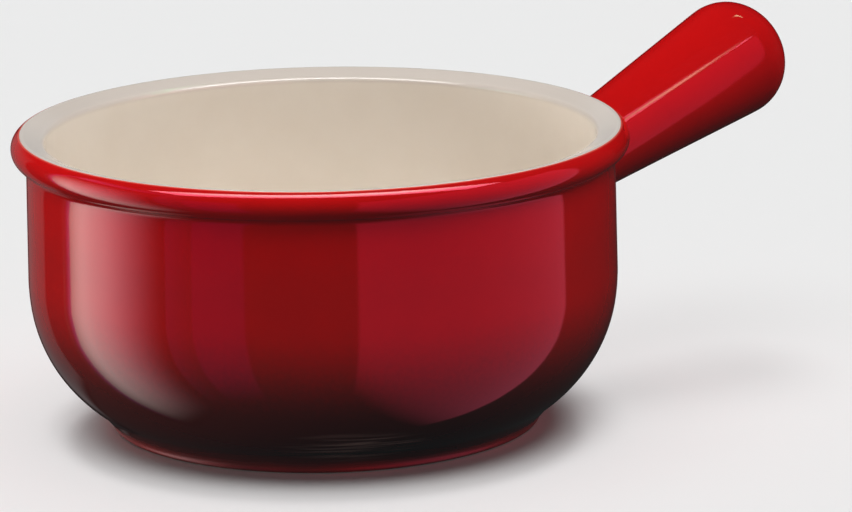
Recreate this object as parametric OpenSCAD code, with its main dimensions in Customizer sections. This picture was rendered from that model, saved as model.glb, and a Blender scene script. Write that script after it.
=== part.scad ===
// French onion soup crock: a deep stoneware bowl on a low foot ring, with a rolled rim
// and one hollow handle shaped like a short club. The fired clay, the slip that joins
// the handle and each coat of glaze are separate pieces that lie face to face.
// The crock stands on z = 0 with its axis on Z, and the handle points along +X.

/* [Bowl] */
// Outer diameter at the widest part of the wall
belly_d = 127.3; // [110:0.1:150]
// Height of the top of the rim above the table
bowl_h = 64.7; // [60:0.1:85]
// How far the wall draws in from the belly to the neck under the rim
neck_draw_in = 0.35; // [0:0.05:2]
// Radius of the gentle curve just below the belly
belly_curve_r = 45; // [38:0.5:60]
// Turn of that gentle curve, in degrees
belly_curve_turn = 8; // [4:0.5:12]
// Radius of the heel curve that turns under to the foot
heel_r = 32.2; // [26:0.1:37]
// Direction below level in which the heel curve ends at the foot, in degrees
heel_turn = 55.4; // [50:0.2:60]
// Thickness of the wall, glaze included
wall_t = 4; // [3:0.1:6]
// Thickness of the floor, glaze included
floor_t = 4.8; // [4:0.1:7]
// Direction below level in which the inside wall hands over to the floor's corner, in degrees
floor_corner_turn = 40.5; // [30:0.5:50]

/* [Rim] */
// How far the rolled bead stands out from the neck
bead_flare = 3.2; // [2:0.05:5]
// Radius of the outer side of the rolled bead
bead_r = 3.35; // [2.8:0.05:4.2]
// Radius of the hollow curve under the bead
neck_curve_r = 1.5; // [0.5:0.1:3]
// Direction above level in which the bead turns into the rim corner, in degrees
bead_turn = 57; // [50:1:65]
// Radius of the outer corner of the rim
rim_corner_r = 1.6; // [1.2:0.1:2]
// Fall of the rim's top towards the inside, in degrees
rim_fall = 19.5; // [4:0.5:24]
// Radius where the rim's top turns down inside
lip_r = 1.3; // [1:0.1:3.4]
// Share of the outer rim corner below the line where red meets cream
colour_line_share = 0.29; // [0.2:0.01:0.6]

/* [Foot] */
// How far the foot ring leans in from its crease with the bowl to its toe
foot_lean = 2.9; // [1:0.1:5]
// Height of the foot ring up to its crease with the bowl
foot_h = 4.7; // [4.2:0.1:6]
// Width of the foot ring
foot_w = 6.6; // [6:0.1:8]
// Radius of the toe on both sides of the foot ring
toe_r = 1.3; // [1:0.1:1.5]
// Height of the hollow inside the foot ring
recess_h = 3.2; // [3:0.1:3.8]
// Radius in the corner of that hollow
recess_r = 1.5; // [1:0.1:1.8]
// Turn of the toe that is glazed, in degrees
toe_glaze_turn = 60; // [45:1:70]

/* [Handle] */
// Length of the handle along its axis, from the wall to the tip
handle_l = 81.1; // [70:0.1:90]
// Rise of the handle's axis above level, in degrees
handle_rise = 16.3; // [12:0.1:20]
// Height above the belly at which the handle's axis meets the wall
handle_above_belly = 7; // [4:0.5:10]
// Diameter of the handle where its cone meets the wall
handle_root_d = 15.3; // [14:0.1:17]
// Diameter that the cone would reach at the tip
handle_tip_d = 29.4; // [27:0.1:31]
// Radius of the round shoulder at the end
shoulder_r = 11; // [9.5:0.1:11.5]
// Radius of the domed end
dome_r = 18.5; // [17:0.1:21]
// Thickness of the handle's wall under the glaze
handle_wall_t = 4; // [3:0.1:4.5]
// Diameter of the steam vent on the underside
vent_d = 2.6; // [2:0.1:3.5]
// Distance of the vent from the wall, along the handle's axis
vent_from_wall = 15; // [14:0.5:30]

/* [Handle joint] */
// Thickness of the slip between the handle and the wall
slip_t = 0.5; // [0.3:0.05:0.8]
// Radius of the slip fillet round the root of the handle
fillet_r = 6; // [5:0.1:7]
// Diameter at the throat of that fillet
fillet_throat_d = 11.4; // [10.5:0.1:12]
// Depth of the fillet's edge below the wall, which lets the wall's curve meet it
fillet_sink = 0.6; // [0.3:0.1:1]

/* [Glaze] */
// Thickness of the glaze coats
glaze_t = 0.35; // [0.25:0.05:0.45]
// Thickness of the dark coat sprayed over the lower bowl
spray_t = 0.12; // [0.08:0.02:0.16]

/* [Hidden] */
$fn = 192;
// Steps in each curve of an outline
fine_steps = 12;
curve_steps = 8;
small_steps = 5;
// Overrun of a solid into the part that trims it
overrun = 3;

// Points along an arc about [cx, cy] from angle a0 to angle a1
function arc(cx, cy, r, a0, a1, steps) =
    [for (i = [0:steps]) let (a = a0 + (a1 - a0) * i / steps) [cx + r * cos(a), cy + r * sin(a)]];
function reversed(pts) = [for (i = [len(pts) - 1:-1:0]) pts[i]];
function unit(v) = v / norm(v);
// Normal to the left of the way from p to q, which points into the clay
function left_normal(p, q) = unit([p.y - q.y, q.x - p.x]);
// The outline moved into the clay by depth t, with mitred corners
function inset(pts, t) =
    [for (i = [0:len(pts) - 1])
        let (last = len(pts) - 1,
             before = left_normal(pts[max(i, 1) - 1], pts[max(i, 1)]),
             after = left_normal(pts[min(i, last - 1)], pts[min(i, last - 1) + 1]),
             moved = pts[i] + t * (before + after) / (1 + before * after))
        [max(moved.x, 0), moved.y]];
// Neighbouring arcs share their end points, which are kept once here
function joined(pts) = [for (i = [0:len(pts) - 1])
    if (i == 0 || norm(pts[i] - pts[i - 1]) > glaze_t / 100) pts[i]];

// Centres of the curves of the bowl's outside
heel_c = [belly_d / 2 - belly_curve_r + (belly_curve_r - heel_r) * cos(belly_curve_turn),
          foot_h + heel_r * sin(heel_turn)];
belly_h = heel_c.y + (belly_curve_r - heel_r) * sin(belly_curve_turn);
belly_c = [belly_d / 2 - belly_curve_r, belly_h];
neck_r = belly_d / 2 - neck_draw_in;
rim_corner_rise = (bead_r - rim_corner_r) * sin(bead_turn);
bead_c = [neck_r + bead_flare - bead_r, bowl_h - rim_corner_r - rim_corner_rise];
neck_curve_x = neck_r + neck_curve_r;
neck_z = bead_c.y - sqrt(pow(bead_r + neck_curve_r, 2) - pow(bead_c.x - neck_curve_x, 2));
neck_turn = atan2(bead_c.y - neck_z, bead_c.x - neck_curve_x);
rim_corner_c = bead_c + (bead_r - rim_corner_r) * [cos(bead_turn), sin(bead_turn)];
rim_corner_sweep = 90 + rim_fall - bead_turn;
colour_line_a = bead_turn + colour_line_share * rim_corner_sweep;

// Centres of the curves of the bowl's inside
inner_belly_r = belly_curve_r - wall_t;
lip_x = neck_r - wall_t + lip_r;
lip_edge_x = lip_x - lip_r * sin(rim_fall);
land_start = rim_corner_c + rim_corner_r * [-sin(rim_fall), cos(rim_fall)];
lip_z = land_start.y - (land_start.x - lip_edge_x) * tan(rim_fall) - lip_r * cos(rim_fall);
// The inside keeps wall_t from the heel curve until the floor's corner takes over
inner_heel_r = heel_r - wall_t;
floor_h = recess_h + floor_t;
floor_corner_r = (heel_c.y - floor_h - inner_heel_r * sin(floor_corner_turn))
    / (1 - sin(floor_corner_turn));
floor_corner_c = heel_c + (inner_heel_r - floor_corner_r)
    * [cos(floor_corner_turn), -sin(floor_corner_turn)];

// The outline of the glazed crock, from the middle of the underside out to the toe,
// up the outside, over the rim and down to the middle of the inside floor
foot_r = heel_c.x + heel_r * cos(heel_turn) - foot_lean;
foot_in_r = foot_r - foot_w;
underside_line = joined(concat(
    [[0, recess_h]],
    arc(foot_in_r - recess_r, recess_h - recess_r, recess_r, 90, 0, small_steps),
    arc(foot_in_r + toe_r, toe_r, toe_r, 180, 180 + toe_glaze_turn, small_steps)));
toe_line = arc(foot_r - toe_r, toe_r, toe_r, -toe_glaze_turn, 0, small_steps);
lower_line = joined(concat(
    [toe_line[small_steps]],
    arc(heel_c.x, heel_c.y, heel_r, -heel_turn, -belly_curve_turn, fine_steps),
    arc(belly_c.x, belly_c.y, belly_curve_r, -belly_curve_turn, 0, small_steps)));
upper_line = joined(concat(
    [lower_line[len(lower_line) - 1]],
    arc(neck_curve_x, neck_z, neck_curve_r, 180, neck_turn, small_steps),
    arc(bead_c.x, bead_c.y, bead_r, neck_turn - 180, bead_turn, fine_steps),
    arc(rim_corner_c.x, rim_corner_c.y, rim_corner_r, bead_turn, colour_line_a, small_steps)));
liner_line = joined(concat(
    arc(rim_corner_c.x, rim_corner_c.y, rim_corner_r, colour_line_a, 90 + rim_fall, small_steps),
    arc(lip_x, lip_z, lip_r, 90 + rim_fall, 180, curve_steps),
    arc(belly_c.x, belly_c.y, inner_belly_r, 0, -belly_curve_turn, small_steps),
    arc(heel_c.x, heel_c.y, inner_heel_r, -belly_curve_turn, -floor_corner_turn, curve_steps),
    arc(floor_corner_c.x, floor_corner_c.y, floor_corner_r, -floor_corner_turn, -90, curve_steps),
    [[0, floor_h]]));
outside_line = joined(concat(toe_line, lower_line, upper_line));
crock_line = joined(concat(outside_line, liner_line));

// The handle's outline in [radius, distance from the wall]
handle_taper = (handle_tip_d - handle_root_d) / 2 / handle_l;
taper_a = atan(handle_taper);
shoulder_in = handle_root_d / 2 - shoulder_r / cos(taper_a);
dome_z = handle_l - dome_r;
shoulder_mid = dome_z - shoulder_in * handle_taper;
shoulder_scale = 1 + handle_taper * handle_taper;
shoulder_reach = shoulder_in * shoulder_in + dome_z * dome_z - pow(dome_r - shoulder_r, 2);
shoulder_z = (shoulder_mid + sqrt(pow(shoulder_mid, 2) - shoulder_scale * shoulder_reach))
    / shoulder_scale;
shoulder_x = shoulder_in + handle_taper * shoulder_z;
shoulder_turn = atan2(shoulder_z - dome_z, shoulder_x);
root_back = wall_t + overrun;
handle_line = joined(concat(
    [[handle_root_d / 2 - handle_taper * root_back, -root_back]],
    arc(shoulder_x, shoulder_z, shoulder_r, -taper_a, shoulder_turn, curve_steps),
    arc(0, dome_z, dome_r, shoulder_turn, 90, curve_steps)));
fillet_line = arc(fillet_throat_d / 2 + fillet_r, fillet_r, fillet_r, 270, 180, curve_steps);

// Outer radius of the wall at the handle's root
root_x = belly_d / 2 - neck_draw_in * handle_above_belly / (neck_z - belly_h);

// A coat between an outline and the same outline moved in by t
module coat(line, t) {
    rotate_extrude()
        polygon(concat(line, reversed(inset(line, t))));
}

// All that lies inside the bowl's outer surface when that is moved in by depth
module bowl_block(depth) {
    line = inset(outside_line, depth);
    rotate_extrude()
        polygon(concat([[0, line[0].y]], line, [[0, line[len(line) - 1].y]]));
}

module at_root() {
    translate([root_x, 0, belly_h + handle_above_belly])
        rotate([0, 90, 0])
            children();
}

// The handle's solid cone, with its outer surface moved in by depth
module handle_cone(depth) {
    at_root()
        rotate([0, -handle_rise, 0])
            rotate_extrude()
                polygon(concat([[0, -root_back]], inset(handle_line, depth)));
}

// The solid trumpet that blends the handle into the wall, moved in by depth
module root_trumpet(depth) {
    line = inset(fillet_line, depth);
    at_root()
        translate([0, 0, -fillet_sink])
            rotate_extrude()
                polygon(concat([[0, -overrun], [line[0].x, -overrun]], line,
                               [[0, line[len(line) - 1].y]]));
}

// The whole handle with its blend, moved in by depth
module handle_form(depth) {
    handle_cone(depth);
    root_trumpet(depth);
}

module vent() {
    at_root()
        rotate([0, -handle_rise, 0])
            translate([0, 0, vent_from_wall])
                rotate([0, 90, 0])
                    cylinder(d = vent_d, h = handle_tip_d);
}

module bowl_body() {
    color("wheat")
        rotate_extrude()
            polygon(concat(inset(underside_line, glaze_t),
                           [[foot_in_r + toe_r, 0], [foot_r - toe_r, 0]],
                           inset(crock_line, glaze_t)));
}

// The slip-cast handle, open at its root, where it is luted to the wall
module handle_body() {
    color("burlywood")
        difference() {
            handle_cone(glaze_t);
            handle_cone(glaze_t + handle_wall_t);
            bowl_block(glaze_t - slip_t);
            vent();
        }
}

// The fired slip: a ring between the handle and the wall, and a fillet round the root
module handle_slip() {
    color("tan")
        difference() {
            root_trumpet(glaze_t);
            bowl_block(glaze_t);
            handle_cone(glaze_t + handle_wall_t);
            difference() {
                handle_cone(glaze_t);
                bowl_block(glaze_t - slip_t);
            }
        }
}

module liner_glaze() {
    color("antiquewhite")
        coat(liner_line, glaze_t);
}

module bowl_glaze() {
    color("red")
        difference() {
            coat(outside_line, glaze_t);
            coat(lower_line, spray_t);
            handle_form(0);
        }
}

// The dark coat that is sprayed over the red from the toe up to the belly
module base_glaze() {
    color("#2a1414")
        difference() {
            coat(lower_line, spray_t);
            handle_form(0);
        }
}

module handle_glaze() {
    color("red")
        difference() {
            handle_form(0);
            handle_form(glaze_t);
            bowl_block(glaze_t);
            vent();
        }
}

module underside_glaze() {
    color("firebrick")
        coat(underside_line, glaze_t);
}

bowl_body();
handle_body();
handle_slip();
liner_glaze();
bowl_glaze();
base_glaze();
handle_glaze();
underside_glaze();
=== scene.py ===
"""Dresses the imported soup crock: its coats of glaze, its bare clay and a plain studio.

The file is laid out as an add-on and is run as a script. Each coat is drawn as an outline,
turned round its axis like clay on a wheel, and given its thickness.
"""

from math import atan, atan2, cos, pi, radians, sin, sqrt, tan

import bpy
from bpy.props import FloatProperty, FloatVectorProperty, IntProperty, PointerProperty
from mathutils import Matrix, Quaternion, Vector


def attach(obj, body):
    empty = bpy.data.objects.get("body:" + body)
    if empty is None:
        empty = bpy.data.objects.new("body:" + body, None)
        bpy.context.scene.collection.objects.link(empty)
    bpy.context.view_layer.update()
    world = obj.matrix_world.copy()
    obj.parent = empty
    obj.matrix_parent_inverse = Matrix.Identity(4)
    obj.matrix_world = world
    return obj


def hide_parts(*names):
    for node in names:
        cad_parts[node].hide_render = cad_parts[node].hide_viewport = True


bl_info = {
    "name": "Soup crock",
    "version": (1, 0, 0),
    "blender": (4, 5, 0),
    "location": "View3D > Sidebar > Crock",
    "description": "Glaze coats, bare clay and a plain studio for a handled soup crock",
    "category": "Add Mesh",
}

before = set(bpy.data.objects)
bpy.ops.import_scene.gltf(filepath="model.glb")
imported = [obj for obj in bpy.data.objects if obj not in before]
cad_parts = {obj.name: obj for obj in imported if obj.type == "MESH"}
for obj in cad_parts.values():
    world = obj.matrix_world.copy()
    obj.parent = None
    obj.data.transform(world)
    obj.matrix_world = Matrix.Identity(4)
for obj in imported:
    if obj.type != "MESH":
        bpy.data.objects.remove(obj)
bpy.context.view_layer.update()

MM = 0.001
BODY = "root"
# Vertices closer than this are one vertex
WELD = 0.001 * MM
# The spin operator turns against the right-hand rule, so this axis takes +X towards +Z
X_TO_Z = (0, 1, 0)
ORIGIN = (0, 0, 0)
X_AXIS = (1, 0, 0)
Z_AXIS = (0, 0, 1)
# Edges that turn by more than these angles, in degrees, are rounded or shaded sharp
ROUNDED_EDGE = 60
SHARP_EDGE = 40

# The photograph's frame, in pixels, and where the point that the camera aims by lies in it
FRAME_W = 852
FRAME_H = 512
AIM_U = 323.2
AIM_V = 259.75
FOCAL_PX = 5086.46
# The camera: its turn round the crock, its rise and its roll, in degrees
CAMERA_TURN = -43
CAMERA_RISE = 13.45
CAMERA_ROLL = -1.26
# Its distance, the height that it aims at, the width of its sensor and what it sees, in mm
CAMERA_DISTANCE = 1100
AIM_H = 35
SENSOR = 36
NEAREST_SEEN = 100
FARTHEST_SEEN = 20000


def length(name, millimetres, description):
    """A length property, with its default written in millimetres."""
    return FloatProperty(
        name=name, description=description, default=millimetres * MM, unit="LENGTH", precision=5
    )


def angle(name, degrees, description):
    """An angle property, with its default written in degrees."""
    return FloatProperty(
        name=name, description=description, default=radians(degrees), unit="ROTATION"
    )


def share(name, value, description):
    """A property between 0 and 1."""
    return FloatProperty(name=name, description=description, default=value, min=0, max=1)


def brightness(name, value, description):
    """The brightness of a lamp or a glowing box."""
    return FloatProperty(name=name, description=description, default=value, min=0)


def colour(name, default, description):
    """A colour property, in linear light."""
    return FloatVectorProperty(
        name=name, description=description, default=default, subtype="COLOR", min=0, max=1
    )


class CrockSizes(bpy.types.PropertyGroup):
    """Sizes of the bowl, its rim, its foot, its handle and the bands of its glaze."""

    belly_d: length("Belly diameter", 127.3, "Outer diameter at the widest part of the wall")
    bowl_h: length("Height", 64.7, "Height of the top of the rim")
    neck_draw_in: length("Neck", 0.35, "How far the wall draws in from the belly to the neck")
    belly_curve_r: length("Belly curve", 45, "Radius of the gentle curve below the belly")
    belly_curve_turn: angle("Belly turn", 8, "Turn of that gentle curve")
    heel_r: length("Heel", 32.2, "Radius of the heel curve that turns under to the foot")
    heel_turn: angle("Heel turn", 55.4, "Direction below level in which the heel ends")
    wall_t: length("Wall", 4, "Thickness of the wall, glaze included")
    floor_t: length("Floor", 4.8, "Thickness of the floor, glaze included")
    floor_corner_turn: angle("Floor corner", 40.5, "Where the wall hands over to the floor")
    bead_flare: length("Bead flare", 3.2, "How far the rolled bead stands out from the neck")
    bead_r: length("Bead", 3.35, "Radius of the outer side of the rolled bead")
    neck_curve_r: length("Neck curve", 1.5, "Radius of the hollow curve under the bead")
    bead_turn: angle("Bead turn", 57, "Where the bead turns into the rim's corner")
    rim_corner_r: length("Rim corner", 1.6, "Radius of the outer corner of the rim")
    rim_fall: angle("Rim fall", 19.5, "Fall of the rim's top towards the inside")
    lip_r: length("Lip", 1.3, "Radius where the rim's top turns down inside")
    colour_line_share: share("Colour line", 0.29, "Share of the rim's corner that is red")
    foot_lean: length("Foot lean", 2.9, "How far the foot leans in to its toe")
    foot_h: length("Foot", 4.7, "Height of the foot ring")
    foot_w: length("Foot width", 6.6, "Width of the foot ring")
    toe_r: length("Toe", 1.3, "Radius of the toe on both sides of the foot ring")
    toe_glaze_turn: angle("Toe glaze", 60, "Turn of the toe that is glazed")
    recess_h: length("Recess", 3.2, "Height of the hollow inside the foot ring")
    recess_r: length("Recess corner", 1.5, "Radius in the corner of that hollow")
    handle_l: length("Handle length", 81.1, "Length of the handle along its axis")
    handle_rise: angle("Handle rise", 16.3, "Rise of the handle's axis above level")
    handle_above_belly: length("Handle root", 7, "Height above the belly of its axis at the wall")
    handle_root_d: length("Root diameter", 15.3, "Diameter where its cone meets the wall")
    handle_tip_d: length("Tip diameter", 29.4, "Diameter that the cone would reach at the tip")
    shoulder_r: length("Shoulder", 11, "Radius of the round shoulder at the end")
    dome_r: length("Dome", 18.5, "Radius of the domed end")
    vent_d: length("Vent", 2.6, "Diameter of the steam vent under the handle")
    vent_from_wall: length("Vent place", 15, "Distance of the vent from the wall")
    glaze_t: length("Glaze", 0.35, "Thickness of the coats of glaze")
    glaze_edge: length("Glaze edge", 0.1, "Rounding of the edges of a coat")
    waviness: length("Waviness", 0.05, "Height of the slow waves that fired glaze keeps")
    wave_size: length("Wave size", 26, "Size of those waves")
    dark_top: length("Dark top", 43, "Where the dark glaze starts")
    dark_full: length("Dark full", 19, "Where the dark glaze covers the red")
    # The first mist of the dark glaze, and painted shade down the wall
    mist_shade_top: length("Mist top", 62, "Where the first mist of the dark glaze starts")
    mist_shade_full: length("Mist full", 46, "Where that mist is at its thickest")
    toe_red_top: length("Toe red top", 3.8, "Where red shows again above the toe")
    toe_red_full: length("Toe red full", 2, "Where the toe is all red")
    clear_from: length("Clear from", 63.5, "Where the red glaze starts to mirror white")
    clear_full: length("Clear full", 64.3, "Where it mirrors all white")
    # The red thins towards the cream, and a painted highlight lies along that band
    thin_red_highlight_from: length("Thin red from", 64.4, "Where the red thins towards the cream")
    thin_red_highlight_full: length("Thin red full", 64.62, "Where the red is at its thinnest")
    # The cream over the rim's top is painted darker and greyer: painted shade
    shade_on_rim_from: length("Thin cream from", 61.6, "Where the cream thins over the rim")
    shade_on_rim_full: length("Thin cream full", 63, "Where the cream is at its thinnest")
    around: IntProperty(name="Around", description="Faces round the bowl", default=256)
    handle_around: IntProperty(name="Round the handle", description="Rows of faces", default=48)


class CrockColours(bpy.types.PropertyGroup):
    """Colours of the fired glazes and the clay, in linear light."""

    red: colour("Red", (0.51, 0.0015, 0.0015), "The red glaze where it lies thick")
    red_deep: colour("Deep red", (0.46, 0.001, 0.0015), "The red glaze where it pooled")
    # The thin red is pinker partly as a painted highlight along the colour line
    red_thin_and_highlight: colour("Thin red", (0.75, 0.12, 0.09), "The red glaze where it breaks over an edge")
    # The dark glaze is lighter than its own colour: painted bounce light and reflection from the
    # floor on the base
    dark: colour("Dark", (0.10, 0.013, 0.011), "The dark glaze sprayed over the base")
    cream: colour("Cream", (0.81, 0.737, 0.65), "The cream glaze")
    cream_warm: colour("Warm cream", (0.77, 0.69, 0.598), "The cream glaze where it lies thick")
    # The greyer, darker cream over the rim's top is painted shade
    cream_shaded_rim: colour("Thin cream", (0.65, 0.58, 0.52), "The cream glaze over the rim")
    streak: colour("Streaks", (0.42, 0.22, 0.19), "Faint streaks in the dark glaze on the foot")
    fleck: colour("Fleck", (0.30, 0.20, 0.13), "Iron flecks in the cream glaze")
    clay: colour("Clay", (0.50, 0.40, 0.29), "Bare fired stoneware")
    clay_dark: colour("Grog", (0.30, 0.21, 0.14), "Grog and smoke in the bare clay")


class StudioSettings(bpy.types.PropertyGroup):
    """The floor, the soft boxes and the light from all round."""

    floor: colour("Floor", (0.83, 0.83, 0.83), "The pale paper floor, which fills the picture")
    ambient: share("Ambient", 0.015, "Brightness of the dark room beyond the boxes")
    floor_light: brightness("Floor light", 0.35, "Strength of the soft sun over the floor")
    open_light: brightness("Open light", 2.24, "Strength of the sun that only the foot shades")
    floor_veil: colour("Floor veil", (0.028, 0.03, 0.03), "Glow of the floor's darkest shadow")
    handle_light: brightness("Handle light", 0.65, "Strength of the sun that the handle shades")
    key: brightness("Key light", 1.97, "Strength of the soft lamp above on the right")
    fill: brightness("Fill light", 1.22, "Strength of the soft lamp above on the left")
    front: brightness("Front light", 0.45, "Strength of the soft lamp by the camera")
    right_low: brightness("Low right light", 0.5, "Strength of the low lamp on the right")
    left_low: brightness("Low left light", 1.4, "Strength of the low lamp on the left")
    left_rim: brightness("Left rim light", 3.45, "Strength of the soft lamp behind on the left")
    right_rim: brightness("Right rim light", 1.25, "Strength of the soft lamp behind on the right")
    handle_strip: brightness("Handle strip", 21, "Brightness of the strip seen along the handle")
    tip_strip: brightness("Tip strip", 21, "Brightness of the strip seen at the handle's tip")
    top_box: brightness("Top box", 11.0, "Brightness of the long box over the bowl")
    left_box: brightness("Left box", 1.15, "Brightness of the box on the left")
    left_core: brightness("Left core", 8.0, "Brightness of the core of the box on the left")
    left_haze: brightness("Left haze", 0.55, "Brightness of the dim cloth in front on the left")
    right_box: brightness("Right box", 1.7, "Brightness of the box on the right")
    far_wall: brightness("Far wall", 0.35, "Brightness of the pale wall seen in the cream glaze")
    far_cloth: brightness("Far cloth", 0.145, "Brightness of the cloth behind on the left")


def outline_values(sizes):
    """The centres and directions of the bowl's curves, worked out from its sizes."""
    v = {}
    spare = sizes.belly_curve_r - sizes.heel_r
    v["heel_c"] = Vector((
        sizes.belly_d / 2 - sizes.belly_curve_r + spare * cos(sizes.belly_curve_turn),
        0,
        sizes.foot_h + sizes.heel_r * sin(sizes.heel_turn),
    ))
    v["belly_h"] = v["heel_c"].z + spare * sin(sizes.belly_curve_turn)
    v["belly_c"] = Vector((sizes.belly_d / 2 - sizes.belly_curve_r, 0, v["belly_h"]))
    v["neck_r"] = sizes.belly_d / 2 - sizes.neck_draw_in
    corner_in = sizes.bead_r - sizes.rim_corner_r
    v["bead_c"] = Vector((
        v["neck_r"] + sizes.bead_flare - sizes.bead_r,
        0,
        sizes.bowl_h - sizes.rim_corner_r - corner_in * sin(sizes.bead_turn),
    ))
    neck_curve_x = v["neck_r"] + sizes.neck_curve_r
    reach = sizes.bead_r + sizes.neck_curve_r
    neck_z = v["bead_c"].z - sqrt(reach ** 2 - (v["bead_c"].x - neck_curve_x) ** 2)
    v["neck_curve_c"] = Vector((neck_curve_x, 0, neck_z))
    v["neck_turn"] = atan2(v["bead_c"].z - neck_z, v["bead_c"].x - neck_curve_x)
    v["rim_corner_c"] = v["bead_c"] + corner_in * toward(sizes.bead_turn)
    sweep = pi / 2 + sizes.rim_fall - sizes.bead_turn
    v["colour_line_a"] = sizes.bead_turn + sizes.colour_line_share * sweep
    v["foot_r"] = v["heel_c"].x + sizes.heel_r * cos(sizes.heel_turn) - sizes.foot_lean
    return v


def toward(turn):
    """The direction in the plane y = 0 that is turned from +X towards +Z."""
    return Vector((cos(turn), 0, sin(turn)))


class Outline:
    """A line in the plane y = 0, drawn by extruding and spinning its last point."""

    def __init__(self, name, start):
        bpy.ops.object.select_all(action="DESELECT")
        bpy.ops.mesh.primitive_plane_add(size=MM, location=start)
        self.piece = bpy.context.active_object
        self.piece.name = self.piece.data.name = name
        bpy.ops.object.transform_apply(location=True, rotation=False, scale=False)
        bpy.ops.object.mode_set(mode="EDIT")
        bpy.ops.mesh.select_mode(type="VERT")
        bpy.ops.mesh.select_all(action="SELECT")
        bpy.ops.mesh.merge(type="CENTER")
        self.tip = Vector(start)

    def line(self, end, steps=1):
        """Goes straight to a point."""
        step = (Vector(end) - self.tip) / steps
        for _ in range(steps):
            bpy.ops.mesh.extrude_region_move(TRANSFORM_OT_translate={"value": step})
        self.tip = Vector(end)

    def arc(self, centre, turn, steps):
        """Goes round a centre."""
        bpy.ops.mesh.spin(steps=steps, angle=turn, center=centre, axis=X_TO_Z)
        self.tip = centre + Quaternion(X_TO_Z, -turn) @ (self.tip - centre)

    def turn(self, centre, axis, steps):
        """Turns the whole line round an axis into a surface, and leaves edit mode."""
        bpy.ops.mesh.select_all(action="SELECT")
        bpy.ops.mesh.spin(steps=steps, angle=2 * pi, center=centre, axis=axis)
        bpy.ops.mesh.select_all(action="SELECT")
        bpy.ops.mesh.remove_doubles(threshold=WELD)
        bpy.ops.mesh.normals_make_consistent(inside=False)
        bpy.ops.object.mode_set(mode="OBJECT")
        return self.piece


def only(piece):
    """Selects one piece and makes it active."""
    bpy.ops.object.select_all(action="DESELECT")
    piece.select_set(True)
    bpy.context.view_layer.objects.active = piece


def modify(piece, kind, **settings):
    """Adds a modifier to a piece and applies it."""
    only(piece)
    modifier = piece.modifiers.new(kind.title(), kind)
    for key, value in settings.items():
        setattr(modifier, key, value)
    bpy.ops.object.modifier_apply(modifier=modifier.name)


def make_wavy(piece, sizes):
    """Gives a coat the slow waves that fired glaze keeps."""
    waves = bpy.data.textures.get("glaze_waves") or bpy.data.textures.new("glaze_waves", "CLOUDS")
    waves.noise_scale = sizes.wave_size
    waves.noise_depth = 1
    modify(piece, "DISPLACE", texture=waves, strength=sizes.waviness, mid_level=0.5,
           texture_coords="LOCAL")


def throw(outline, sizes):
    """Turns an outline into a coat, like clay on a wheel, with its thickness inwards."""
    coat = outline.turn(ORIGIN, Z_AXIS, sizes.around)
    make_wavy(coat, sizes)
    modify(coat, "SOLIDIFY", thickness=sizes.glaze_t, offset=-1, use_even_offset=True)
    modify(coat, "BEVEL", width=sizes.glaze_edge, segments=3, limit_method="ANGLE",
           angle_limit=radians(ROUNDED_EDGE))
    only(coat)
    bpy.ops.object.shade_smooth_by_angle(angle=radians(SHARP_EDGE))
    return coat


def hand_over(piece, slot, material, *nodes):
    """Ties a finished coat to the body, the node that it replaces and its material."""
    piece.data.materials.clear()
    piece.data.materials.append(material)
    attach(piece, BODY)
    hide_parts(*nodes)


def feed(tree, socket, value):
    """Links a value that is a socket, and sets any other."""
    if isinstance(value, bpy.types.NodeSocket):
        tree.links.new(value, socket)
    else:
        socket.default_value = value


def add_node(tree, kind, **inputs):
    """Adds a shader node, with its inputs and its settings by name."""
    node = tree.nodes.new("ShaderNode" + kind)
    for key, value in inputs.items():
        name = key.replace("_", " ")
        if name in node.inputs:
            feed(tree, node.inputs[name], value)
        else:
            setattr(node, key, value)
    return node


def number(tree, operation, *values):
    """Adds a math node and gives its result."""
    node = tree.nodes.new("ShaderNodeMath")
    node.operation = operation
    for socket, value in zip(node.inputs, values):
        feed(tree, socket, value)
    return node.outputs["Value"]


def blend(tree, amount, first, second):
    """Mixes two colours and gives the result."""
    node = tree.nodes.new("ShaderNodeMix")
    node.data_type = "RGBA"
    for name, value in (("Factor_Float", amount), ("A_Color", first), ("B_Color", second)):
        feed(tree, next(each for each in node.inputs if each.identifier == name), value)
    return next(each for each in node.outputs if each.identifier == "Result_Color")


def ramp(tree, value, start, end):
    """Gives 0 where a value is at the start, 1 where it is at the end, and eases between."""
    node = tree.nodes.new("ShaderNodeMapRange")
    node.interpolation_type = "SMOOTHSTEP"
    tree.links.new(value, node.inputs["Value"])
    node.inputs["From Min"].default_value = start
    node.inputs["From Max"].default_value = end
    return node.outputs["Result"]


def new_group(name, inputs, outputs):
    """Starts a node group with named sockets, and gives what comes in and what goes out."""
    group = bpy.data.node_groups.new(name, "ShaderNodeTree")
    for label, kind, value in inputs:
        socket = group.interface.new_socket(label, in_out="INPUT", socket_type=kind)
        socket.default_value = value
    for label, kind in outputs:
        group.interface.new_socket(label, in_out="OUTPUT", socket_type=kind)
    given = group.nodes.new("NodeGroupInput").outputs
    result = group.nodes.new("NodeGroupOutput").inputs
    return group, given, result


def use_group(tree, name, **inputs):
    """Places a node group in a material, and makes the group where it isn't there yet."""
    node = tree.nodes.new("ShaderNodeGroup")
    node.node_tree = bpy.data.node_groups.get(name) or GROUPS[name]()
    for key, value in inputs.items():
        feed(tree, node.inputs[key.replace("_", " ")], value)
    return node.outputs


FLOAT = "NodeSocketFloat"
COLOUR = "NodeSocketColor"


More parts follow.
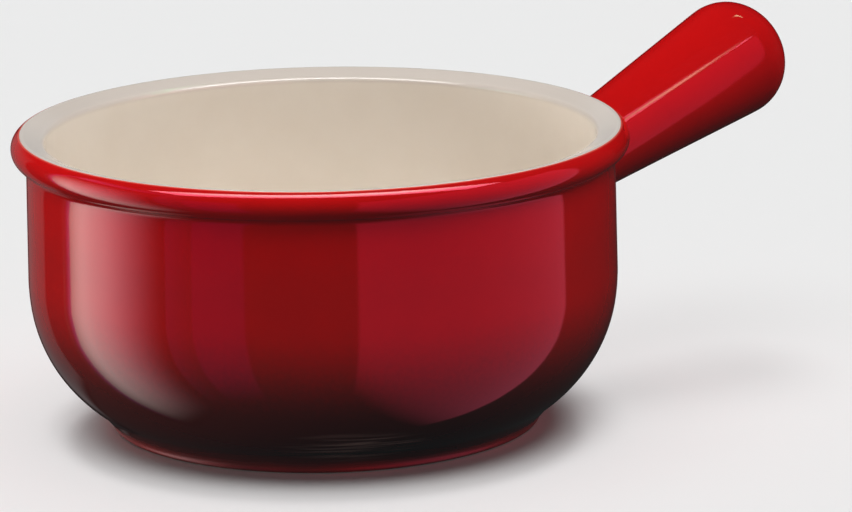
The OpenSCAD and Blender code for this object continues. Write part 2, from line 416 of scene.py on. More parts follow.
def make_drift_group():
    """The slow drift between two tones that every fired surface has."""
    tree, given, result = new_group(
        "tone_drift",
        [("Tone", COLOUR, (0.5, 0.5, 0.5, 1)), ("Other tone", COLOUR, (0.4, 0.4, 0.4, 1)),
         ("Size", FLOAT, 30)],
        [("Color", COLOUR)],
    )
    place = tree.nodes.new("ShaderNodeTexCoord").outputs["Object"]
    broad = add_node(tree, "TexNoise", Vector=place, Scale=given["Size"], Detail=3)
    fine_scale = number(tree, "MULTIPLY", given["Size"], 9)
    fine = add_node(tree, "TexNoise", Vector=place, Scale=fine_scale, Detail=4)
    mixed = number(tree, "MULTIPLY_ADD", fine.outputs["Fac"], 0.4, broad.outputs["Fac"])
    amount = ramp(tree, mixed, 0.45, 0.95)
    tree.links.new(blend(tree, amount, given["Tone"], given["Other tone"]), result["Color"])
    return tree


def make_skin_group():
    """The skin of fired glaze: a slow ripple, orange peel and pinholes."""
    tree, given, result = new_group(
        "glaze_skin",
        [("Ripple", FLOAT, 1), ("Pinholes", FLOAT, 1), ("Polish", FLOAT, 0.05)],
        [("Height", FLOAT), ("Roughness", FLOAT), ("Pinhole", FLOAT)],
    )
    place = tree.nodes.new("ShaderNodeTexCoord").outputs["Object"]
    ripple = add_node(tree, "TexNoise", Vector=place, Scale=70, Detail=1)
    peel = add_node(tree, "TexNoise", Vector=place, Scale=420, Detail=2)
    cells = add_node(tree, "TexVoronoi", Vector=place, Scale=130)
    chance = add_node(tree, "TexWhiteNoise", Vector=cells.outputs["Position"])
    rare = number(tree, "GREATER_THAN", chance.outputs["Value"], 0.93)
    round_pit = ramp(tree, cells.outputs["Distance"], 0.045, 0.01)
    pit = number(tree, "MULTIPLY", number(tree, "MULTIPLY", rare, round_pit), given["Pinholes"])
    waves = number(tree, "MULTIPLY_ADD", peel.outputs["Fac"], 0.12, ripple.outputs["Fac"])
    waves = number(tree, "MULTIPLY", waves, given["Ripple"])
    height = number(tree, "MULTIPLY_ADD", pit, -1.2, waves)
    dull = add_node(tree, "TexNoise", Vector=place, Scale=55, Detail=5)
    dullness = number(tree, "MULTIPLY_ADD", dull.outputs["Fac"], 0.05, given["Polish"])
    rough = number(tree, "MULTIPLY_ADD", pit, 0.4, dullness)
    tree.links.new(height, result["Height"])
    tree.links.new(rough, result["Roughness"])
    tree.links.new(pit, result["Pinhole"])
    return tree


GROUPS = {"tone_drift": make_drift_group, "glaze_skin": make_skin_group}


def start_material(name, **constants):
    """A new material with its Principled shader and the object's place."""
    material = bpy.data.materials.new(name)
    material.use_nodes = True
    tree = material.node_tree
    shader = tree.nodes["Principled BSDF"]
    for key, value in constants.items():
        shader.inputs[key.replace("_", " ")].default_value = value
    place = tree.nodes.new("ShaderNodeTexCoord").outputs["Object"]
    return material, tree, shader, place


def finish_skin(tree, shader, skin, dulling=0):
    """Ties the skin of a glaze to its shader, duller by so much."""
    rough = number(tree, "ADD", skin["Roughness"], dulling)
    tree.links.new(rough, shader.inputs["Roughness"])
    bump = add_node(tree, "Bump", Height=skin["Height"], Strength=1, Distance=SKIN_DEPTH * MM)
    tree.links.new(bump.outputs["Normal"], shader.inputs["Normal"])


def rgba(value):
    """A colour with its alpha."""
    return (*value, 1)


# How glass bends light, and the tint of what the deep red glaze mirrors
GLASS_IOR = 1.55
GLAZE_TINT = (1, 0.12, 0.25)
WHITE = (1, 1, 1)
# A faint painted glow in green and blue on the red glaze, which lifts its darkest red
PAINTED_GLOW = (0, 0.0042, 0.0046)
# The depth of a glaze's ripple and peel, and of the grain in clay and slip, in mm
SKIN_DEPTH = 0.02
CLAY_DEPTH = 0.08
SLIP_DEPTH = 0.03
# How dark the first mist and the painted shade on the wall are, how red the toe, how dark a
# pinhole, and how dull the toe
MIST_AND_SHADE_SHARE = 0.24
TOE_RED_SHARE = 0.6
PIT_SHARE = 0.6
TOE_DULLING = 0.3
# How far the grains and the drifts of the spray shift its edge, in mm
GRAIN_SHIFT = 5
DRIFT_SHIFT = 6
# The toe is red this far to the right and left of the middle, and dark beyond, in mm
TOE_RED_NEAR = 10
TOE_RED_FAR = 60
# The streaks: their middle as right, near and up, how far they reach and fade, in mm, how
# flat their patch is and how they are drawn out level
STREAKS_AT = (5, 52, 7.5)
STREAKS_REACH = 7
STREAKS_END = 19
STREAKS_FLATNESS = (1, 1, 4)
STREAKS_DRAWN = (0.12, 0.12, 2.4)


def from_camera(right, near, up):
    """A place given, in millimetres, to the right of, nearer than and above the crock's foot."""
    turn = radians(CAMERA_TURN)
    return Vector((
        right * cos(turn) + near * sin(turn),
        right * sin(turn) - near * cos(turn),
        up,
    )) * MM


def stretch(tree, place, operation, value):
    """Shifts or stretches the place that a texture is read at."""
    node = tree.nodes.new("ShaderNodeVectorMath")
    node.operation = operation
    tree.links.new(place, node.inputs[0])
    node.inputs[1].default_value = value
    return node.outputs["Vector"]


def foot_streaks(tree, place):
    """Faint lighter level streaks painted into one patch above the foot."""
    off = stretch(tree, place, "SUBTRACT", from_camera(*STREAKS_AT))
    off = stretch(tree, off, "MULTIPLY", STREAKS_FLATNESS)
    far = add_node(tree, "VectorMath", Vector=off, operation="LENGTH").outputs["Value"]
    patch = ramp(tree, far, STREAKS_END * MM, STREAKS_REACH * MM)
    level = stretch(tree, place, "MULTIPLY", STREAKS_DRAWN)
    lines = add_node(tree, "TexNoise", Vector=level, Scale=480, Detail=1)
    return number(tree, "MULTIPLY", patch, ramp(tree, lines.outputs["Fac"], 0.4, 0.75))


def red_at_toe(tree, place, height, drift, sizes):
    """Gives where the toe is and how red it is: the spray missed it in patches at the front."""
    toe = ramp(tree, height, sizes.toe_red_top, sizes.toe_red_full)
    side = add_node(tree, "VectorMath", Vector=place, operation="DOT_PRODUCT")
    side.inputs[1].default_value = from_camera(1, 0, 0) / MM
    aside = number(tree, "ABSOLUTE", side.outputs["Value"])
    front = ramp(tree, aside, TOE_RED_FAR * MM, TOE_RED_NEAR * MM)
    patch = number(tree, "MULTIPLY", ramp(tree, drift, 0.35, 0.65), front)
    return toe, number(tree, "MULTIPLY", number(tree, "MULTIPLY", toe, patch), TOE_RED_SHARE)


def red_glaze(name, colours, sizes, on_bowl):
    """The red glaze, under a dark spray that thickens downwards, with a faint painted glow and
    painted shade down the wall. On the bowl it thins on top, under a painted highlight.
    """
    material, tree, shader, place = start_material(
        name, IOR=GLASS_IOR, Specular_Tint=rgba(GLAZE_TINT), Emission_Color=rgba(PAINTED_GLOW),
        Emission_Strength=1
    )
    body = use_group(tree, "tone_drift", Tone=rgba(colours.red), Other_tone=rgba(colours.red_deep),
                     Size=22)["Color"]
    # The dark spray, lifted by painted bounce light and reflection from the floor
    dark = rgba(colours.dark)
    height = add_node(tree, "SeparateXYZ", Vector=place).outputs["Z"]
    grains = add_node(tree, "TexNoise", Vector=place, Scale=900, Detail=2).outputs["Fac"]
    drift = add_node(tree, "TexNoise", Vector=place, Scale=24, Detail=2).outputs["Fac"]
    uneven = number(tree, "MULTIPLY_ADD", grains, GRAIN_SHIFT * MM, height)
    uneven = number(tree, "MULTIPLY_ADD", drift, DRIFT_SHIFT * MM, uneven)
    # A first faint darkening down the wall: the mist of the dark spray, and painted shade where
    # less light falls
    mist_and_shade = number(tree, "MULTIPLY", ramp(tree, uneven, sizes.mist_shade_top, sizes.mist_shade_full), MIST_AND_SHADE_SHARE)
    body = blend(tree, mist_and_shade, body, dark)
    spray = ramp(tree, uneven, sizes.dark_top, sizes.dark_full)
    dulling = 0
    if on_bowl:
        toe, toe_red = red_at_toe(tree, place, height, drift, sizes)
        spray = number(tree, "MULTIPLY", spray, number(tree, "SUBTRACT", 1, toe_red))
        dulling = number(tree, "MULTIPLY", toe, TOE_DULLING)
    body = blend(tree, spray, body, dark)
    if on_bowl:
        body = blend(tree, foot_streaks(tree, place), body, rgba(colours.streak))
        # The red thins and turns pinker towards the cream: thin glaze, and a painted highlight
        # along the colour line
        thin_and_highlight = ramp(tree, height, sizes.thin_red_highlight_from, sizes.thin_red_highlight_full)
        body = blend(tree, thin_and_highlight, body, rgba(colours.red_thin_and_highlight))
        clear = ramp(tree, height, sizes.clear_from, sizes.clear_full)
        tint = blend(tree, clear, rgba(GLAZE_TINT), rgba(WHITE))
        tree.links.new(tint, shader.inputs["Specular Tint"])
    skin = use_group(tree, "glaze_skin", Ripple=1, Pinholes=0.6, Polish=0.03)
    body = blend(tree, number(tree, "MULTIPLY", skin["Pinhole"], PIT_SHARE), body, dark)
    tree.links.new(body, shader.inputs["Base Color"])
    finish_skin(tree, shader, skin, dulling)
    return material


def cream_glaze(name, colours, sizes):
    """The cream glaze, warmer where it pooled, with fine iron flecks and painted shade over the
    rim's top.
    """
    material, tree, shader, place = start_material(name, IOR=GLASS_IOR)
    body = use_group(tree, "tone_drift", Tone=rgba(colours.cream),
                     Other_tone=rgba(colours.cream_warm), Size=16)["Color"]
    height = add_node(tree, "SeparateXYZ", Vector=place).outputs["Z"]
    # Painted shade: the cream turns greyer and darker over the rim's top
    rim_shade_mask = ramp(tree, height, sizes.shade_on_rim_from, sizes.shade_on_rim_full)
    body = blend(tree, rim_shade_mask, body, rgba(colours.cream_shaded_rim))
    cells = add_node(tree, "TexVoronoi", Vector=place, Scale=260)
    chance = add_node(tree, "TexWhiteNoise", Vector=cells.outputs["Position"])
    rare = number(tree, "GREATER_THAN", chance.outputs["Value"], 0.9)
    dot = ramp(tree, cells.outputs["Distance"], 0.07, 0.02)
    fleck = number(tree, "MULTIPLY", number(tree, "MULTIPLY", rare, dot), 0.35)
    body = blend(tree, fleck, body, rgba(colours.fleck))
    skin = use_group(tree, "glaze_skin", Ripple=0.8, Pinholes=0.8, Polish=0.1)
    tree.links.new(body, shader.inputs["Base Color"])
    finish_skin(tree, shader, skin)
    return material


def bare_clay(name, colours, smooth):
    """Bare fired clay, sandy on the bowl and the handle, smoother where slip fills the joint."""
    material, tree, shader, place = start_material(name, Specular_IOR_Level=0.3)
    body = use_group(tree, "tone_drift", Tone=rgba(colours.clay),
                     Other_tone=rgba(colours.clay_dark), Size=40)["Color"]
    grog = add_node(tree, "TexVoronoi", Vector=place, Scale=900)
    speck = ramp(tree, grog.outputs["Distance"], 0.25, 0.05)
    body = blend(tree, number(tree, "MULTIPLY", speck, 0.3), body, rgba(colours.clay_dark))
    grain = add_node(tree, "TexNoise", Vector=place, Scale=1600, Detail=4).outputs["Fac"]
    rough = number(tree, "MULTIPLY_ADD", grain, 0.15, 0.62 if smooth else 0.75)
    tree.links.new(body, shader.inputs["Base Color"])
    tree.links.new(rough, shader.inputs["Roughness"])
    depth = SLIP_DEPTH if smooth else CLAY_DEPTH
    bump = add_node(tree, "Bump", Height=grain, Strength=1, Distance=depth * MM)
    tree.links.new(bump.outputs["Normal"], shader.inputs["Normal"])
    return material


class CROCK_OT_bowl_glaze(bpy.types.Operator):
    """Adds the red glaze of the bowl, which darkens towards the foot"""

    bl_idname = "crock.bowl_glaze"
    bl_label = "Bowl glaze"

    def execute(self, context):
        sizes = context.scene.crock_sizes
        v = outline_values(sizes)
        toe_c = Vector((v["foot_r"] - sizes.toe_r, 0, sizes.toe_r))
        start = toe_c + sizes.toe_r * toward(-sizes.toe_glaze_turn)
        outline = Outline("bowl_glaze_coat", start)
        outline.arc(toe_c, sizes.toe_glaze_turn, steps=6)
        outline.line(v["heel_c"] + sizes.heel_r * toward(-sizes.heel_turn), steps=4)
        outline.arc(v["heel_c"], sizes.heel_turn - sizes.belly_curve_turn, steps=24)
        outline.arc(v["belly_c"], sizes.belly_curve_turn, steps=5)
        neck_foot = v["neck_curve_c"] - sizes.neck_curve_r * toward(0)
        outline.line(neck_foot, steps=10)
        outline.arc(v["neck_curve_c"], v["neck_turn"] - pi, steps=8)
        outline.arc(v["bead_c"], sizes.bead_turn - v["neck_turn"] + pi, steps=24)
        outline.arc(v["rim_corner_c"], v["colour_line_a"] - sizes.bead_turn, steps=4)
        coat = throw(outline, sizes)
        red = red_glaze("red_glaze_bowl", context.scene.crock_colours, sizes, on_bowl=True)
        hand_over(coat, "red_glaze", red, "bowl_glaze", "base_glaze")
        return {"FINISHED"}


class CROCK_OT_liner_glaze(bpy.types.Operator):
    """Adds the cream glaze inside and over the top of the rim"""

    bl_idname = "crock.liner_glaze"
    bl_label = "Liner glaze"

    def execute(self, context):
        sizes = context.scene.crock_sizes
        v = outline_values(sizes)
        rim_top = pi / 2 + sizes.rim_fall
        start = v["rim_corner_c"] + sizes.rim_corner_r * toward(v["colour_line_a"])
        outline = Outline("liner_glaze_coat", start)
        outline.arc(v["rim_corner_c"], rim_top - v["colour_line_a"], steps=6)
        lip_x = v["neck_r"] - sizes.wall_t + sizes.lip_r
        lip_edge_x = lip_x - sizes.lip_r * sin(sizes.rim_fall)
        lip_edge_z = outline.tip.z - (outline.tip.x - lip_edge_x) * tan(sizes.rim_fall)
        outline.line((lip_edge_x, 0, lip_edge_z), steps=3)
        lip_c = Vector((lip_x, 0, lip_edge_z - sizes.lip_r * cos(sizes.rim_fall)))
        outline.arc(lip_c, pi - rim_top, steps=10)
        inner_belly_r = sizes.belly_curve_r - sizes.wall_t
        outline.line(v["belly_c"] + inner_belly_r * toward(0), steps=10)
        outline.arc(v["belly_c"], -sizes.belly_curve_turn, steps=5)
        handover = sizes.floor_corner_turn
        inner_heel_r = sizes.heel_r - sizes.wall_t
        outline.arc(v["heel_c"], sizes.belly_curve_turn - handover, steps=12)
        floor_h = sizes.recess_h + sizes.floor_t
        drop = v["heel_c"].z - floor_h - inner_heel_r * sin(handover)
        corner_r = drop / (1 - sin(handover))
        corner_c = v["heel_c"] + (inner_heel_r - corner_r) * toward(-handover)
        outline.arc(corner_c, handover - pi / 2, steps=16)
        outline.line((0, 0, floor_h), steps=10)
        coat = throw(outline, sizes)
        cream = cream_glaze("cream_glaze", context.scene.crock_colours, sizes)
        hand_over(coat, "cream_glaze", cream, "liner_glaze")
        return {"FINISHED"}


class CROCK_OT_underside_glaze(bpy.types.Operator):
    """Adds the glaze in the hollow inside the foot ring"""

    bl_idname = "crock.underside_glaze"
    bl_label = "Underside glaze"

    def execute(self, context):
        sizes = context.scene.crock_sizes
        v = outline_values(sizes)
        foot_in_r = v["foot_r"] - sizes.foot_w
        outline = Outline("underside_glaze_coat", (0, 0, sizes.recess_h))
        outline.line((foot_in_r - sizes.recess_r, 0, sizes.recess_h), steps=8)
        corner_c = Vector((foot_in_r - sizes.recess_r, 0, sizes.recess_h - sizes.recess_r))
        outline.arc(corner_c, -pi / 2, steps=8)
        outline.line((foot_in_r, 0, sizes.toe_r))
        toe_c = Vector((foot_in_r + sizes.toe_r, 0, sizes.toe_r))
        outline.arc(toe_c, sizes.toe_glaze_turn, steps=6)
        coat = throw(outline, sizes)
        red = red_glaze("red_glaze_underside", context.scene.crock_colours, sizes, on_bowl=False)
        hand_over(coat, "red_glaze", red, "underside_glaze")
        return {"FINISHED"}


# Where the blend at the handle's root starts, and how long the drill for the vent is, in mm
BLEND_TOP = 9
DRILL_L = 14
# Each ring of that blend: its distance from the bowl's coat and its radius, in mm
ROOT_RINGS = ((4.0, 8.35), (1.2, 9.6), (0.15, 12.2), (-0.1, 14.5), (-0.3, 16.5))


def shoulder_values(sizes):
    """The taper of the handle's cone, and its shoulder's place along and off the axis."""
    taper = (sizes.handle_tip_d - sizes.handle_root_d) / 2 / sizes.handle_l
    shoulder_in = sizes.handle_root_d / 2 - sizes.shoulder_r / cos(atan(taper))
    dome_s = sizes.handle_l - sizes.dome_r
    mid = dome_s - shoulder_in * taper
    scale = 1 + taper ** 2
    reach = shoulder_in ** 2 + dome_s ** 2 - (sizes.dome_r - sizes.shoulder_r) ** 2
    shoulder_s = (mid + sqrt(mid ** 2 - scale * reach)) / scale
    return taper, shoulder_s, shoulder_in + taper * shoulder_s


def flare_root(coat, root, along, ring_r):
    """Draws the open end of the handle's coat out in rings that lie over the bowl's coat."""
    only(coat)
    bpy.ops.object.mode_set(mode="EDIT")
    bpy.ops.mesh.select_mode(type="EDGE")
    bpy.ops.mesh.select_all(action="DESELECT")
    bpy.ops.mesh.select_non_manifold(extend=False, use_wire=False, use_boundary=True,
                                     use_multi_face=False, use_non_contiguous=False,
                                     use_verts=False)
    place = BLEND_TOP * MM
    for k, (lift, radius) in enumerate(ROOT_RINGS):
        step = along * (lift * MM - place)
        bpy.ops.mesh.extrude_region_move(TRANSFORM_OT_translate={"value": step})
        place = lift * MM
        factor = radius * MM / ring_r
        bpy.ops.transform.resize(value=(factor,) * 3, center_override=root + along * place)
        ring_r = radius * MM
        coat.vertex_groups.new(name=f"ring_{k}")
        bpy.ops.object.vertex_group_assign()
    bpy.ops.object.mode_set(mode="OBJECT")
    wall = bpy.data.objects["bowl_glaze_coat"]
    for k, (lift, _) in enumerate(ROOT_RINGS):
        modify(coat, "SHRINKWRAP", target=wall, vertex_group=f"ring_{k}",
               wrap_method="PROJECT", use_project_x=True, use_negative_direction=True,
               use_positive_direction=True, wrap_mode="ABOVE_SURFACE", offset=lift * MM)
    modify(coat, "SUBSURF", levels=2, render_levels=2)
    coat.vertex_groups.clear()


def drill_vent(coat, place, rise, diameter):
    """Drills the steam vent through the coat, square to the handle's axis."""
    bpy.ops.object.select_all(action="DESELECT")
    bpy.ops.mesh.primitive_cylinder_add(
        vertices=32, radius=diameter / 2, depth=DRILL_L * MM, location=place,
        rotation=(0, -rise, 0))
    drill = bpy.context.active_object
    modify(coat, "BOOLEAN", operation="DIFFERENCE", solver="EXACT", object=drill)
    bpy.data.objects.remove(drill)


class CROCK_OT_handle_glaze(bpy.types.Operator):
    """Adds the red glaze of the handle and the blend at its root"""

    bl_idname = "crock.handle_glaze"
    bl_label = "Handle glaze"

    def execute(self, context):
        sizes = context.scene.crock_sizes
        v = outline_values(sizes)
        rise = sizes.handle_rise
        along = toward(rise)
        upward = toward(rise + pi / 2)
        root_drop = sizes.handle_above_belly / (v["neck_curve_c"].z - v["belly_h"])
        root = Vector((
            sizes.belly_d / 2 - sizes.neck_draw_in * root_drop,
            0,
            v["belly_h"] + sizes.handle_above_belly,
        ))
        taper, shoulder_s, shoulder_x = shoulder_values(sizes)
        dome_s = sizes.handle_l - sizes.dome_r
        shoulder_turn = atan2(shoulder_s - dome_s, shoulder_x)

        outline = Outline("handle_glaze_coat", root + along * sizes.handle_l)
        outline.arc(root + along * dome_s, pi / 2 - shoulder_turn, steps=10)
        shoulder_c = root + along * shoulder_s + upward * shoulder_x
        outline.arc(shoulder_c, shoulder_turn + atan(taper), steps=12)
        blend_r = sizes.handle_root_d / 2 + taper * BLEND_TOP * MM
        outline.line(root + along * BLEND_TOP * MM + upward * blend_r, steps=10)
        coat = outline.turn(root, along, sizes.handle_around)
        flare_root(coat, root, along, blend_r)
        make_wavy(coat, sizes)
        modify(coat, "SOLIDIFY", thickness=sizes.glaze_t, offset=-1, use_even_offset=True)
        vent = root + along * sizes.vent_from_wall - upward * (sizes.handle_root_d / 2)
        drill_vent(coat, vent, rise, sizes.vent_d)
        only(coat)
        bpy.ops.object.shade_smooth_by_angle(angle=radians(SHARP_EDGE))
        red = red_glaze("red_glaze_handle", context.scene.crock_colours, sizes, on_bowl=False)
        hand_over(coat, "red_glaze", red, "handle_glaze")
        return {"FINISHED"}


class CROCK_OT_clay(bpy.types.Operator):
    """Finishes the bare clay and slip, which show at the foot ring and in the vent"""

    bl_idname = "crock.clay"
    bl_label = "Bare clay"

    def execute(self, context):
        colours = context.scene.crock_colours
        clay = bare_clay("stoneware_clay", colours, smooth=False)
        slip = bare_clay("fired_slip", colours, smooth=True)
        for name, material in (("bowl_body", clay), ("handle_body", clay), ("handle_slip", slip)):
            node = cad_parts[name]
            node.data.materials.clear()
            node.data.materials.append(material)
        return {"FINISHED"}


# The floor's side, in metres, and its paper's darkest tone, as a share of its colour
FLOOR_SIDE = 30
PAPER_SHADE = 0.995
# The spread of the soft lamps, in degrees
LAMP_SPREAD = 40
# The soft boxes: the lower left corner of each, its lower and its left side, as right, near
# and up in mm, its tint, how far it fades from its left, right, lower and upper edges, as
# shares of its sides, and the coats that it spares
SOFT_BOXES = {
    "right_box": {
        "corner": (140, 689, -800), "across": (129, -724, 0), "up": (0, 0, 1040),
        "tint": (1, 0.24, 0.38), "fades": (0.07, 0.012, 0.72, 0.02),
    },
    "left_haze": {
        "corner": (-530, 282, -800), "across": (248, 248, 0), "up": (0, 0, 1040),
        "tint": (1, 0.15, 0.9), "fades": (0.4, 0.05, 0.6, 0.1),
    },
    "handle_strip": {
        "corner": (257, 30, 270), "across": (7.6, -40, -42.8), "up": (0, 0, 36),
        "tint": (0.3, 1, 0.45), "fades": (0.3, 0.3, 0.3, 0.3), "spared": ("bowl_glaze_coat",),
    },
    "tip_strip": {
        "corner": (180, -285, 664), "across": (150, 0, 0), "up": (0, 45, 0),
        "tint": (0.3, 1, 0.45), "fades": (0.3, 0.3, 0.3, 0.3), "spared": ("bowl_glaze_coat",),
    },
    "left_box": {
        "corner": (-389, -158, -750), "across": (-55, 655, 0), "up": (0, 0, 1190),
        "tint": (1, 0.5, 1.2), "fades": (0.06, 0.8, 0.8, 0.1),
    },
    "left_core": {
        "corner": (-388, -175, -700), "across": (-32, 425, 0), "up": (0, 0, 1000),
        "tint": (0.7, 1, 0.85), "fades": (0.3, 0.6, 0.96, 0.35),
    },
    "top_box": {
        "corner": (-700, 100, 664), "across": (1420, 0, 0), "up": (0, 311, 0),
        "tint": WHITE, "fades": (0.02, 0.02, 0.1, 0.1),
    },
    "far_cloth": {
        "corner": (-582, -536, -500), "across": (382, -364, 0), "up": (0, 0, 900),
        "tint": WHITE, "fades": (0.06, 0.3, 0.1, 0.3),
    },
    "far_wall": {
        "corner": (-500, -1000, -100), "across": (1500, 0, 0), "up": (0, 0, 700),
        "tint": WHITE, "fades": (0.1, 0.1, 0.1, 0.3),
        "spared": ("bowl_glaze_coat", "handle_glaze_coat"),
    },
}
# The soft lamps: each one's turn from the camera and its rise, in degrees, and what it spares
LAMPS = {
    "key": (60, 60),
    "fill": (-60, 60),
    "front": (0, 30),
    "right_low": (80, 2, "liner_glaze_coat"),
    "left_low": (-72, 5, "liner_glaze_coat"),
    "left_rim": (-120, 0),
    "right_rim": (120, 0),
}
# The suns over the floor: how far a shadow falls nearer and to the right, per height, the
# spread in degrees, and what casts shadows
FLOOR_SUNS = {
    "floor_light": (0, -0.1, 70, "bowl_glaze_coat", "liner_glaze_coat", "underside_glaze_coat"),
    "open_light": (0.2, 0.1, 70, "foot_flag"),
    "handle_light": (1, 0, 16, "handle_glaze_coat", "foot_flag"),
}
# The flag inside the clay that shades the floor at the foot: its radius and height, in mm
FLAG_OUTLINE = ((48.7, 5.5), (52.5, 9.5), (55.5, 13))
FLAG_AROUND = 64


def gather(name, pieces):
    """A collection of pieces by their names, for a light's own list."""
    group = bpy.data.collections.new(name)
    for piece in pieces:
        group.objects.link(bpy.data.objects[piece])
    return group


def leave_out(light, pieces):
    """Keeps the light of a lamp or a glowing box off the floor and some pieces."""
    others = gather(light.name + "_spared", ("studio_floor", *pieces))
    for each in others.collection_objects:
        each.light_linking.link_state = "EXCLUDE"
    light.light_linking.receiver_collection = others


def add_box(name, strength, corner, across, up, tint, fades, spared=()):
    """A glowing rectangle that faces the crock and shows only in what the glazes mirror."""
    corner, across, up = (from_camera(*given) for given in (corner, across, up))
    bpy.ops.object.select_all(action="DESELECT")
    bpy.ops.mesh.primitive_plane_add(size=1, location=corner + (across + up) / 2)
    box = bpy.context.active_object
    box.name = box.data.name = name
    facing = across.cross(up).normalized()
    turn = Vector(Z_AXIS).rotation_difference(facing)
    side = turn @ Vector(X_AXIS)
    spin = side.angle(across)
    if side.cross(across).dot(facing) < 0:
        spin = -spin
    box.rotation_mode = "QUATERNION"
    box.rotation_quaternion = Quaternion(facing, spin) @ turn
    box.scale = (across.length, up.length, 1)
    bpy.ops.object.transform_apply(location=True, rotation=True, scale=True)

    material = bpy.data.materials.new(name)
    material.use_nodes = True
    tree = material.node_tree
    tree.nodes.remove(tree.nodes["Principled BSDF"])
    spread = tree.nodes.new("ShaderNodeTexCoord").outputs["UV"]
    place = add_node(tree, "SeparateXYZ", Vector=spread).outputs
    glow = strength
    for axis, start, end in (("X", fades[0], fades[1]), ("Y", fades[2], fades[3])):
        glow = number(tree, "MULTIPLY", glow, ramp(tree, place[axis], 0, start))
        glow = number(tree, "MULTIPLY", glow, ramp(tree, place[axis], 1, 1 - end))
    light = add_node(tree, "Emission", Color=rgba(tint), Strength=glow)
    tree.links.new(light.outputs["Emission"], tree.nodes["Material Output"].inputs["Surface"])
    box.data.materials.append(material)
    box.visible_camera = box.visible_shadow = box.visible_diffuse = False
    leave_out(box, spared)


def add_sun(name, fall, strength, spread):
    """A soft lamp as far off as the sun, by the way that its light falls."""
    bpy.ops.object.select_all(action="DESELECT")
    bpy.ops.object.light_add(type="SUN")
    sun = bpy.context.active_object
    sun.name = name
    sun.rotation_mode = "QUATERNION"
    sun.rotation_quaternion = fall.to_track_quat("-Z", "Y")
    sun.data.energy = strength
    sun.data.angle = radians(spread)
    return sun


def add_lamp(name, strength, turn, rise, *spared):
    """A soft lamp on the crock alone, placed by its turn from the camera and its rise."""
    turn, rise = radians(turn), radians(rise)
    place = from_camera(sin(turn) * cos(rise), cos(turn) * cos(rise), sin(rise))
    lamp = add_sun(name, -place, strength, LAMP_SPREAD)
    lamp.visible_glossy = False
    leave_out(lamp, spared)


def add_floor_sun(name, strength, nearer, to_right, spread, *shaded_by):
    """A soft sun that lights only the floor, and is shaded by some pieces alone."""
    sun = add_sun(name, from_camera(to_right, nearer, -1), strength, spread)
    sun.light_linking.receiver_collection = gather(name + "_lights", ("studio_floor",))
    sun.light_linking.blocker_collection = gather(name + "_shades", shaded_by)


def add_floor(studio):
    """Adds the pale paper floor, which fills the picture behind the crock."""
    bpy.ops.object.select_all(action="DESELECT")
    bpy.ops.mesh.primitive_plane_add(size=FLOOR_SIDE, location=ORIGIN)
    floor = bpy.context.active_object
    floor.name = floor.data.name = "studio_floor"
    paper, tree, shader, place = start_material(
        "studio_floor", Roughness=1, Specular_IOR_Level=0,
        Emission_Color=rgba(studio.floor_veil), Emission_Strength=1)
    grain = add_node(tree, "TexNoise", Vector=place, Scale=60, Detail=3).outputs["Fac"]
    shade = tuple(PAPER_SHADE * part for part in studio.floor)
    tree.links.new(blend(tree, grain, rgba(shade), rgba(studio.floor)),
                   shader.inputs["Base Color"])
    floor.data.materials.append(paper)
    floor.visible_glossy = floor.visible_diffuse = False
    return paper


def add_flag(paper):
    """The ring that shades the floor at the foot, and that nothing else sees."""
    outline = Outline("foot_flag", (0, 0, FLAG_OUTLINE[0][1] * MM))
    for across, height in FLAG_OUTLINE:
        outline.line((across * MM, 0, height * MM))
    flag = outline.turn(ORIGIN, Z_AXIS, FLAG_AROUND)
    flag.data.materials.append(paper)
    flag.visible_camera = flag.visible_diffuse = flag.visible_glossy = False


class CROCK_OT_studio(bpy.types.Operator):
    """Adds the pale floor, the soft boxes and the camera"""

    bl_idname = "crock.studio"
    bl_label = "Studio"

    def execute(self, context):
        studio = context.scene.crock_studio
        paper = add_floor(studio)
        for name, box in SOFT_BOXES.items():
            add_box(name, getattr(studio, name), **box)
        for name, placing in LAMPS.items():
            add_lamp(name, getattr(studio, name), *placing)
        add_flag(paper)
        for name, placing in FLOOR_SUNS.items():
            add_floor_sun(name, getattr(studio, name), *placing)

        world = context.scene.world or bpy.data.worlds.new("studio")
        context.scene.world = world
        world.use_nodes = True
        background = world.node_tree.nodes["Background"]
        background.inputs["Color"].default_value = rgba((studio.ambient,) * 3)
        place_camera(context)
        return {"FINISHED"}


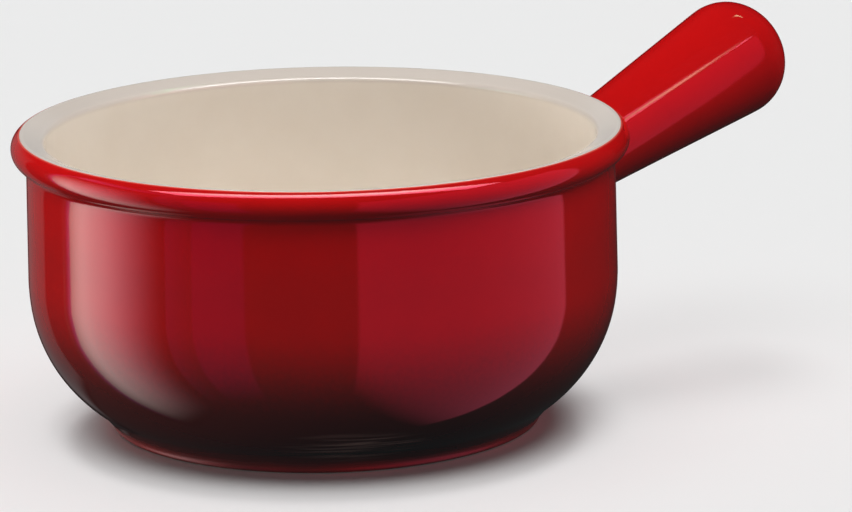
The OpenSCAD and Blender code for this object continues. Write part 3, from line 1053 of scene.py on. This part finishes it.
def place_camera(context):
    """Puts the camera at the photograph's viewing angle."""
    rise = radians(CAMERA_RISE)
    back = from_camera(0, cos(rise), sin(rise)) / MM
    bpy.ops.object.camera_add(location=(Vector((0, 0, AIM_H)) + back * CAMERA_DISTANCE) * MM)
    camera = context.active_object
    camera.name = "photo_camera"
    camera.data.sensor_width = SENSOR
    camera.data.lens = FOCAL_PX * SENSOR / FRAME_W
    seen = Vector((AIM_U - FRAME_W / 2, FRAME_H / 2 - AIM_V, -FOCAL_PX))
    look = (-back).to_track_quat("-Z", "Y")
    roll = Quaternion(Z_AXIS, radians(CAMERA_ROLL))
    camera.rotation_mode = "QUATERNION"
    camera.rotation_quaternion = look @ roll @ seen.rotation_difference(Vector((0, 0, -1)))
    camera.data.clip_start = NEAREST_SEEN * MM
    camera.data.clip_end = FARTHEST_SEEN * MM
    context.scene.camera = camera


class CROCK_PT_panel(bpy.types.Panel):
    """The crock's pieces and sizes in the sidebar"""

    bl_idname = "CROCK_PT_panel"
    bl_label = "Soup crock"
    bl_space_type = "VIEW_3D"
    bl_region_type = "UI"
    bl_category = "Crock"

    def draw(self, context):
        for operator in OPERATORS:
            self.layout.operator(operator.bl_idname)
        for group in (context.scene.crock_sizes, context.scene.crock_colours,
                      context.scene.crock_studio):
            column = self.layout.column(align=True)
            for name in group.__annotations__:
                column.prop(group, name)


OPERATORS = (
    CROCK_OT_bowl_glaze,
    CROCK_OT_liner_glaze,
    CROCK_OT_underside_glaze,
    CROCK_OT_handle_glaze,
    CROCK_OT_clay,
    CROCK_OT_studio,
)
CLASSES = (CrockSizes, CrockColours, StudioSettings, *OPERATORS, CROCK_PT_panel)


def register():
    """Registers the classes, and hangs the settings on the scene."""
    for cls in CLASSES:
        bpy.utils.register_class(cls)
    bpy.types.Scene.crock_sizes = PointerProperty(type=CrockSizes)
    bpy.types.Scene.crock_colours = PointerProperty(type=CrockColours)
    bpy.types.Scene.crock_studio = PointerProperty(type=StudioSettings)


def unregister():
    """Takes away what register added."""
    del bpy.types.Scene.crock_studio
    del bpy.types.Scene.crock_colours
    del bpy.types.Scene.crock_sizes
    for cls in reversed(CLASSES):
        bpy.utils.unregister_class(cls)


def main():
    """Builds the crock and its studio."""
    register()
    bpy.ops.crock.bowl_glaze()
    bpy.ops.crock.liner_glaze()
    bpy.ops.crock.underside_glaze()
    bpy.ops.crock.handle_glaze()
    bpy.ops.crock.clay()
    bpy.ops.crock.studio()
    bpy.context.scene.view_settings.view_transform = "Standard"


if __name__ == "__main__":
    main()
